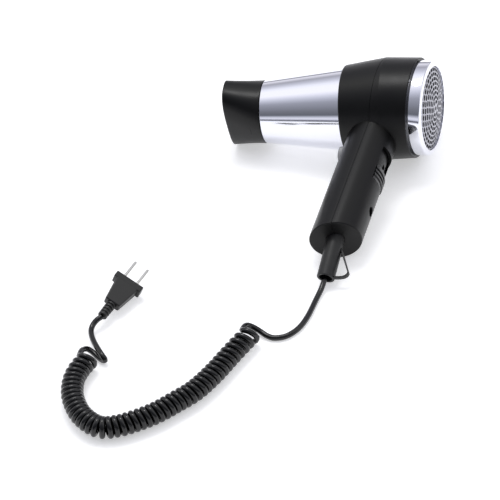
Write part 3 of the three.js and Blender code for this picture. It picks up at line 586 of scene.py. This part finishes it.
# Each ring of the heater is a close spring of wire bent round the edges of the mica boards.
WINDING_RADIUS, WINDING_MEAN_RADIUS = 21.55, 0.55
WINDING_TURNS, POINTS_PER_WINDING = 72, 10
for number, x in enumerate((-84, -75, -66, -57), 1):
    winding = bpy.data.curves.new("winding", "CURVE")
    winding.dimensions = "3D"
    winding.bevel_depth = 0.16
    winding.bevel_resolution = 1
    path = winding.splines.new("POLY")
    path.points.add(WINDING_TURNS * POINTS_PER_WINDING - 1)
    path.use_cyclic_u = True
    for i, point in enumerate(path.points):
        round_wire = 2 * math.pi * i / POINTS_PER_WINDING
        round_ring = round_wire / WINDING_TURNS
        radius = WINDING_RADIUS + WINDING_MEAN_RADIUS * math.cos(round_wire)
        point.co = (x + WINDING_MEAN_RADIUS * math.sin(round_wire), radius * math.cos(round_ring),
                    radius * math.sin(round_ring), 1)
    coil = as_mesh(winding, f"heating_coil_{number}")
    settle(coil, dryer_place, wire, "body", "resistance_wire", f"heating_coil_{number}", angle=60)

# ---- Fan -------------------------------------------------------------------------------------
# A one-piece axial fan, moulded in the same nylon as the air guide and pressed on the motor's
# shaft: a hub with nine twisted blades.
FAN_BLADES = 9
fan = as_object(spun([
    (5, 1.45), (5, 9.5, 0.5), (14, 9.5), (16, 7, 1), (16, 1.45),
], 64), "fan_impeller")
for i in range(FAN_BLADES):
    blade = rounded_block((1.3, 12, 23.6), (0, 0, 19.8), 0.4)
    bmesh.ops.subdivide_edges(blade, edges=[e for e in blade.edges if e.calc_length() > 15], cuts=8,
                              use_grid_fill=True)
    for vertex in blade.verts:
        twist = 0.95 - 0.016 * (vertex.co.z - 8)
        vertex.co.xy = (
            vertex.co.x * math.cos(twist) - vertex.co.y * math.sin(twist) + 10.5,
            vertex.co.x * math.sin(twist) + vertex.co.y * math.cos(twist),
        )
    bmesh.ops.rotate(blade, matrix=Matrix.Rotation(2 * math.pi * i / FAN_BLADES, 3, "X"),
                     verts=blade.verts)
    combine(fan, blade, "UNION")
settle(fan, dryer_place, heat_black, "fan", "gloss_black_plastic", "fan_impeller", weighted=True)

# ---- Rear cap --------------------------------------------------------------------------------
# A chromed plastic ring that pulls off for cleaning, with the domed grille and the lint filter
# behind it held in its lip.
CAP_FACE = 10.6
cap_ring = as_object(spun([
    (-7, 35), (-7, 36.1, 0.3), (1.4, 36.1), (1.4, 38, 0.5), (CAP_FACE, 38, 1.6),
    (CAP_FACE + 1.1, 33.5, 0.3), (CAP_FACE - 1, 33.5), (CAP_FACE - 1, 35),
], 192), "rear_cap_ring")
settle(cap_ring, cap_place, chrome_plate, "rear_cap", "chrome_plate", "rear_cap_ring")

# The grille is a thin moulding in silver-grey paint, all bars and small oblong slots in rings.
silver_paint = surface("silver_grey_paint", "#b4b4bc", 0.05, 10, (0.28, 0.38), 0.4, 0.01,
                       Metallic=0.35)
GRILLE_RADIUS, DOME_RISE = 33.2, 3.6
RINGS, OUTER_RING, RING_SPACING = 8, 31, 3.65
SLOT_SPACING, SLOT_HALF_LENGTH, SLOT_HALF_WIDTH = 5.4, 2.3, 1.4
grille_curve = bpy.data.curves.new("grille", "CURVE")
grille_curve.dimensions = "2D"
grille_curve.fill_mode = "BOTH"
grille_curve.extrude = 0.08
grille_curve.bevel_depth = 0.1
grille_curve.bevel_resolution = 1


def add_loop(points):
    """Adds a closed outline to the grille: its rim first, then the holes in it."""
    loop = grille_curve.splines.new("POLY")
    loop.points.add(len(points) - 1)
    loop.use_cyclic_u = True
    for point, (x, y) in zip(loop.points, points):
        point.co = (x, y, 0, 1)


def circle(radius, count):
    """Points evenly spaced round a circle."""
    angles = [2 * math.pi * i / count for i in range(count)]
    return [(radius * math.cos(a), radius * math.sin(a)) for a in angles]


def signed_power(value, power):
    """A power of the value's size, with its sign: squares off a sine or cosine."""
    return math.copysign(abs(value) ** power, value)


add_loop(circle(GRILLE_RADIUS - 0.12, 160))
for ring in range(RINGS):
    radius = OUTER_RING - RING_SPACING * ring
    count = round(2 * math.pi * radius / SLOT_SPACING)
    for i in range(count):
        middle = 2 * math.pi * (i + 0.5 * (ring % 2)) / count
        slot = []
        for cosine, sine in circle(1, 20):
            r = radius + SLOT_HALF_WIDTH * signed_power(sine, 0.45)
            angle = middle + SLOT_HALF_LENGTH * signed_power(cosine, 0.45) / radius
            slot.append((r * math.cos(angle), r * math.sin(angle)))
        add_loop(slot)
add_loop(circle(1.9, 20))
grille = as_mesh(grille_curve, "intake_grille")
for vertex in grille.data.vertices:
    x, y, z = vertex.co
    rise = DOME_RISE * (1 - (x * x + y * y) / GRILLE_RADIUS ** 2)
    vertex.co = (CAP_FACE - 0.45 + rise + z, y, -x)
settle(grille, cap_place, silver_paint, "rear_cap", "bright_steel", "intake_grille", angle=40)

# Lint filter: a disc of fine black nylon gauze pressed into the ring.
gauze = surface("black_nylon_gauze", "#070707", 0.3, 1.2, (0.7, 0.9), 0.6, 0.15)
lint = as_object(spun([(5.4, 0), (5.4, 34.6, 0.2), (6, 34.6, 0.2), (6, 0)], 96), "lint_filter")
settle(lint, cap_place, gauze, "rear_cap", "white_nylon", "lint_filter")

# ---- Nozzle ----------------------------------------------------------------------------------
# Satin-black ABS like the housing: round where it clips to the barrel, and drawn out to a rounded
# oblong at its mouth. A groove inside its rear end snaps over the collar's ring.
NOZZLE_REAR, NOZZLE_MOUTH = -97.4, -127.7
NOZZLE_RADIUS = 25.5
NOZZLE_WALL = 1.8
MOUTH_HALF_LENGTH, MOUTH_HALF_HEIGHT, MOUTH_SQUARENESS = 29.6, 16.6, 2.75
NOZZLE_SIDES = 96
nozzle_mesh = bmesh.new()


def ring_of_edges(x, half_length, half_height, squareness):
    """A closed ring round the nozzle: a circle at squareness 2, nearer an oblong above that."""
    verts = []
    for cosine, sine in circle(1, NOZZLE_SIDES):
        y = half_length * signed_power(cosine, 2 / squareness)
        z = half_height * signed_power(sine, 2 / squareness)
        verts.append(nozzle_mesh.verts.new((x, y, z)))
    return [nozzle_mesh.edges.new(pair) for pair in zip(verts, verts[1:] + verts[:1])]


def nozzle_ring(x, inwards):
    """The nozzle's section at x, so much inside its outer skin."""
    along = min(max((NOZZLE_REAR - x) / (NOZZLE_REAR - NOZZLE_MOUTH), 0), 1)
    half_length = NOZZLE_RADIUS + (MOUTH_HALF_LENGTH - NOZZLE_RADIUS) * along ** 1.7
    half_height = NOZZLE_RADIUS + (MOUTH_HALF_HEIGHT - NOZZLE_RADIUS) * along
    return ring_of_edges(x, half_length - inwards, half_height - inwards,
                         2 + (MOUTH_SQUARENESS - 2) * along)


# The rear edge, the skin, the rounded lip of the mouth, the inside, and the groove.
rings = [nozzle_ring(NOZZLE_REAR - x, inwards) for x, inwards in ((0, 0.4), (0.15, 0.12), (0.5, 0))]
rings += [nozzle_ring(NOZZLE_REAR - 29.9 * (i + 1) / 16, 0) for i in range(16)]
for x, inwards in ((0.2, 0.12), (0, 0.45), (0, 1.35), (0.2, 1.7), (0.6, NOZZLE_WALL)):
    rings.append(nozzle_ring(NOZZLE_MOUTH + x, inwards))
rings += [nozzle_ring(NOZZLE_MOUTH + 0.6 + 2 * (i + 1), NOZZLE_WALL) for i in range(10)]
for x, radius in ((-107, 22.9), (-102.4, 22.9), (-102.4, 23.7), (-99.6, 23.7), (-99.6, 22.9),
                  (NOZZLE_REAR, 22.9)):
    rings.append(ring_of_edges(x, radius, radius, 2))
for first, second in zip(rings, rings[1:] + rings[:1]):
    bmesh.ops.bridge_loops(nozzle_mesh, edges=first + second)
nozzle = as_object(nozzle_mesh, "concentrator_nozzle")
settle(nozzle, dryer_place, satin_abs, "nozzle", "satin_black_plastic", "concentrator_nozzle")

# ---- Slide switch ----------------------------------------------------------------------------
# A black thumb slide with three raised ribs, polished so that its edges catch the light, running
# in a sunk tray of satin ABS.
SLIDE_LOW, SLIDE_HIGH = -86.5, -71.5
SLIDE_FOOT, SLIDE_FACE, RIB_TOP = 17.2, 19.75, 20.7
tray = as_object(spun([(-88.5, 15.3), (-88.5, 16.9), (-51, 16.9), (-51, 15.3)], 24, "Z",
                      math.radians(98)), "switch_tray")
combine(tray, rounded_block((12, 4.4, 24), (16, 0, -75), 0.6), "DIFFERENCE")
settle(tray, handle_place, satin_abs, "body", "satin_black_plastic", "switch_tray")
slide_profile = [(SLIDE_LOW, SLIDE_FOOT), (SLIDE_LOW, SLIDE_FACE, 0.5)]
for height in (3.2, 6.8, 10.4):
    z = SLIDE_LOW + height
    slide_profile += [(z, SLIDE_FACE), (z + 0.2, RIB_TOP, 0.25), (z + 1.4, RIB_TOP, 0.25),
                      (z + 1.6, SLIDE_FACE)]
slide_profile += [(SLIDE_HIGH, SLIDE_FACE, 0.5), (SLIDE_HIGH, SLIDE_FOOT)]
slide = as_object(spun(slide_profile, 28, "Z", math.radians(70)), "switch_slider")
combine(slide, rounded_block((6, 3.6, 5), (14.9, 0, -82.4), 0.3), "UNION")
glossy_abs = surface("glossy_moulded_abs", "#151516", 0.08, 12, (0.16, 0.22), 0.4, 0.01,
                     Specular_IOR_Level=0.8)
edge = slide.modifiers.new("soft_edges", "BEVEL")
edge.width, edge.segments, edge.angle_limit = 0.0004, 3, math.radians(50)
settle(slide, handle_place, glossy_abs, "slider", "gloss_black_plastic", "switch_slider",
       weighted=True)

# ---- Push button -----------------------------------------------------------------------------
# Light grey ABS with a slightly crowned face, held out by a small coil spring of drawn steel
# wire.
SPRING_TURNS, SPRING_RADIUS, SPRING_LENGTH = 5, 3.6, 4.7
grey_abs = surface("grey_moulded_abs", "#a2a2a4", 0.04, 6, (0.3, 0.4), 0.4, 0.01)
button = as_object(spun([
    (-22.95, 0), (-22.8, 3.4), (-22.3, 6.3, 1.0), (-15, 6.3), (-15, 7.7), (-14, 7.7), (-14, 0),
], 64), "push_button")
button.data.transform(Matrix.Translation((0, 0, BUTTON_HEIGHT)))
settle(button, handle_place, grey_abs, "button", "grey_plastic", "push_button")
spring_curve = bpy.data.curves.new("spring", "CURVE")
spring_curve.dimensions = "3D"
spring_curve.bevel_depth = 0.3
spring_curve.bevel_resolution = 2
spring_curve.use_fill_caps = True
wire_path = spring_curve.splines.new("POLY")
wire_path.points.add(SPRING_TURNS * POINTS_PER_TURN)
for i, point in enumerate(wire_path.points):
    turns = i / POINTS_PER_TURN
    point.co = (-13.35 + SPRING_LENGTH * turns / SPRING_TURNS,
                SPRING_RADIUS * math.cos(2 * math.pi * turns),
                SPRING_RADIUS * math.sin(2 * math.pi * turns) + BUTTON_HEIGHT, 1)
spring = as_mesh(spring_curve, "button_spring")
settle(spring, handle_place, drawn_steel, "body", "bright_steel", "button_spring", angle=60)
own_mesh(spring)

# ---- Cord sleeve and hanging loop ------------------------------------------------------------
# A soft PVC sleeve that guides the lead out of the handle, with a flat strap moulded on it as a
# loop to hang the dryer by. Soft PVC is duller than ABS, as its skin doesn't take a polish.
STRAP_WIDTH = 3.6
soft_pvc = surface("soft_matt_pvc", "#121212", 0.1, 10, (0.42, 0.5), 0.5, 0.02)
handle_end = handle_place @ Matrix.Translation((0, 0, -HANDLE_LENGTH))
sleeve_place = handle_end @ Matrix.Rotation(SLEEVE_DROOP, 4, "X")
sleeve = as_object(spun([
    (-33.4, 5, 0.6), (-33.4, 7, 0.7), (7, 7), (7, 10), (9.5, 10), (9.5, 2.9), (-13.4, 2.9),
    (-13.4, 5),
], 72, "Z"), "cord_sleeve")
settle(sleeve, sleeve_place, soft_pvc, "body", "black_rubber", "cord_sleeve")
outline = [
    Vector((7, -32.9)),
    *corner_curve(Vector((7.3, -32.9)), Vector((17.6, -32.6)), Vector((17.6, -27.2)), 14),
    Vector((7, -6.4)), Vector((7, -9.6)),
    *corner_curve(Vector((16.2, -26.8)), Vector((16.4, -31.2)), Vector((7.3, -31.5)), 14),
    Vector((7, -31.5)),
]
strap = bmesh.new()
strap_face = strap.faces.new([strap.verts.new((p.x, -STRAP_WIDTH / 2, p.y)) for p in outline])
raised = bmesh.ops.extrude_face_region(strap, geom=[strap_face])["geom"]
far_side = [v for v in raised if isinstance(v, bmesh.types.BMVert)]
bmesh.ops.translate(strap, vec=(0, STRAP_WIDTH, 0), verts=far_side)
long_edges = [e for e in strap.edges if abs(e.verts[0].co.y - e.verts[1].co.y) < 0.1]
bmesh.ops.bevel(strap, geom=long_edges, offset=0.3, segments=3, profile=0.5, affect="EDGES",
                material=-1)
loop = as_object(strap, "hanging_loop")
settle(loop, sleeve_place, soft_pvc, "body", "black_rubber", "hanging_loop", angle=40)

# ---- Table and studio ------------------------------------------------------------------------
# A pale matt table with painted light: an even painted glow, strongest near its middle, that washes
# out its shadows, and painted shade that turns it grey far off; a soft light overhead; and a room
# that is white above and behind, and grey in front down to a bright strip just over the horizon.
# Between these two distances from the table's middle, in metres, painted shade greys the table and its painted
# glow fades.
WHITE_WITHIN, PAINTED_SHADE_BEYOND = 0.45, 2.5
NEAR_PAINTED_GLOW, FAR_PAINTED_GLOW = 0.46, 0.02
ROOM_STRENGTH = 1.12
table_with_painted_light = surface("white_matt_table_painted_light", "#f0f0f0", 0.01, 300, (0.7, 0.8), 3, 0.01)
tree = table_with_painted_light.node_tree
shade = tree.nodes["Principled BSDF"]
reach = add(tree, "ShaderNodeVectorMath", {
    0: add(tree, "ShaderNodeTexCoord").outputs["Object"]}, operation="LENGTH")
far = add(tree, "ShaderNodeMapRange", {
    "Value": reach.outputs["Value"], "From Min": WHITE_WITHIN, "From Max": PAINTED_SHADE_BEYOND},
    interpolation_type="SMOOTHSTEP")
near_white = shade.inputs["Base Color"].links[0].from_socket
# Painted shade: the table's colour goes from white to grey far off.
paint = add(tree, "ShaderNodeMix", {0: far.outputs["Result"], 6: near_white, 7: linear("#a2a3aa")},
            data_type="RGBA")
tree.links.new(paint.outputs[2], shade.inputs["Base Color"])
# Painted light: the table glows, most near its middle, so that shadows on it wash out.
painted_glow = add(tree, "ShaderNodeMapRange", {
    "Value": far.outputs["Result"], "To Min": NEAR_PAINTED_GLOW, "To Max": FAR_PAINTED_GLOW})
tree.links.new(painted_glow.outputs["Result"], shade.inputs["Emission Strength"])
shade.inputs["Emission Color"].default_value = (1, 1, 1, 1)
table_mesh = bmesh.new()
bmesh.ops.create_grid(table_mesh, x_segments=1, y_segments=1, size=9)
table = as_object(table_mesh, "table")
table.data.materials.append(table_with_painted_light)

softbox = bpy.data.lights.new("overhead_softbox", "AREA")
softbox.shape = "RECTANGLE"
softbox.size, softbox.size_y = 1.0, 0.5
softbox.energy = 11
lamp = bpy.data.objects.new("overhead_softbox", softbox)
lamp.location = (-0.3, 0.55, 2.0)
lamp.rotation_euler = (-lamp.location).to_track_quat("-Z", "Y").to_euler()
bpy.context.scene.collection.objects.link(lamp)

world = bpy.data.worlds.new("studio")
bpy.context.scene.world = world
world.use_nodes = True
sky = world.node_tree
split = add(sky, "ShaderNodeSeparateXYZ", {
    "Vector": add(sky, "ShaderNodeTexCoord").outputs["Generated"]})
forward_y = add(sky, "ShaderNodeMath", {0: split.outputs["Y"], 1: -1.0}, operation="MULTIPLY")
over = add(sky, "ShaderNodeMath", {0: split.outputs["Z"], 1: forward_y.outputs["Value"]},
           operation="ARCTAN2")
share = add(sky, "ShaderNodeMath", {0: over.outputs["Value"], 1: math.pi}, operation="DIVIDE")
ramp = add(sky, "ShaderNodeValToRGB", {"Fac": share.outputs["Value"]})
# Degrees up from the horizon in front, over the top and down to the one behind.
studio = [
    (0, "#55575d"), (2, "#5c5e66"), (5, "#d2d3de"), (9, "#e2e3ec"), (14, "#aeb0ba"),
    (19, "#64676e"), (26, "#6e7077"), (33, "#76787f"), (42, "#84868f"), (51, "#90929b"),
    (60, "#9c9ea8"), (69, "#b6b8c3"), (79, "#d4d6e0"), (88, "#f0f0f8"),
    (95, "#ffffff"), (114, "#ffffff"), (124, "#f4f5fc"), (138, "#cbccd6"), (153, "#a8a8b0"),
    (170, "#eae9ef"), (177, "#9a9aa2"), (180, "#85858c"),
]
stops = ramp.color_ramp.elements
for degrees, colour in studio[1:-1]:
    stops.new(degrees / 180).color = linear(colour)
stops[0].color = linear(studio[0][1])
stops[-1].color = linear(studio[-1][1])
background = sky.nodes["Background"]
sky.links.new(ramp.outputs["Color"], background.inputs["Color"])
background.inputs["Strength"].default_value = ROOM_STRENGTH
bpy.context.scene.view_settings.view_transform = "Standard"
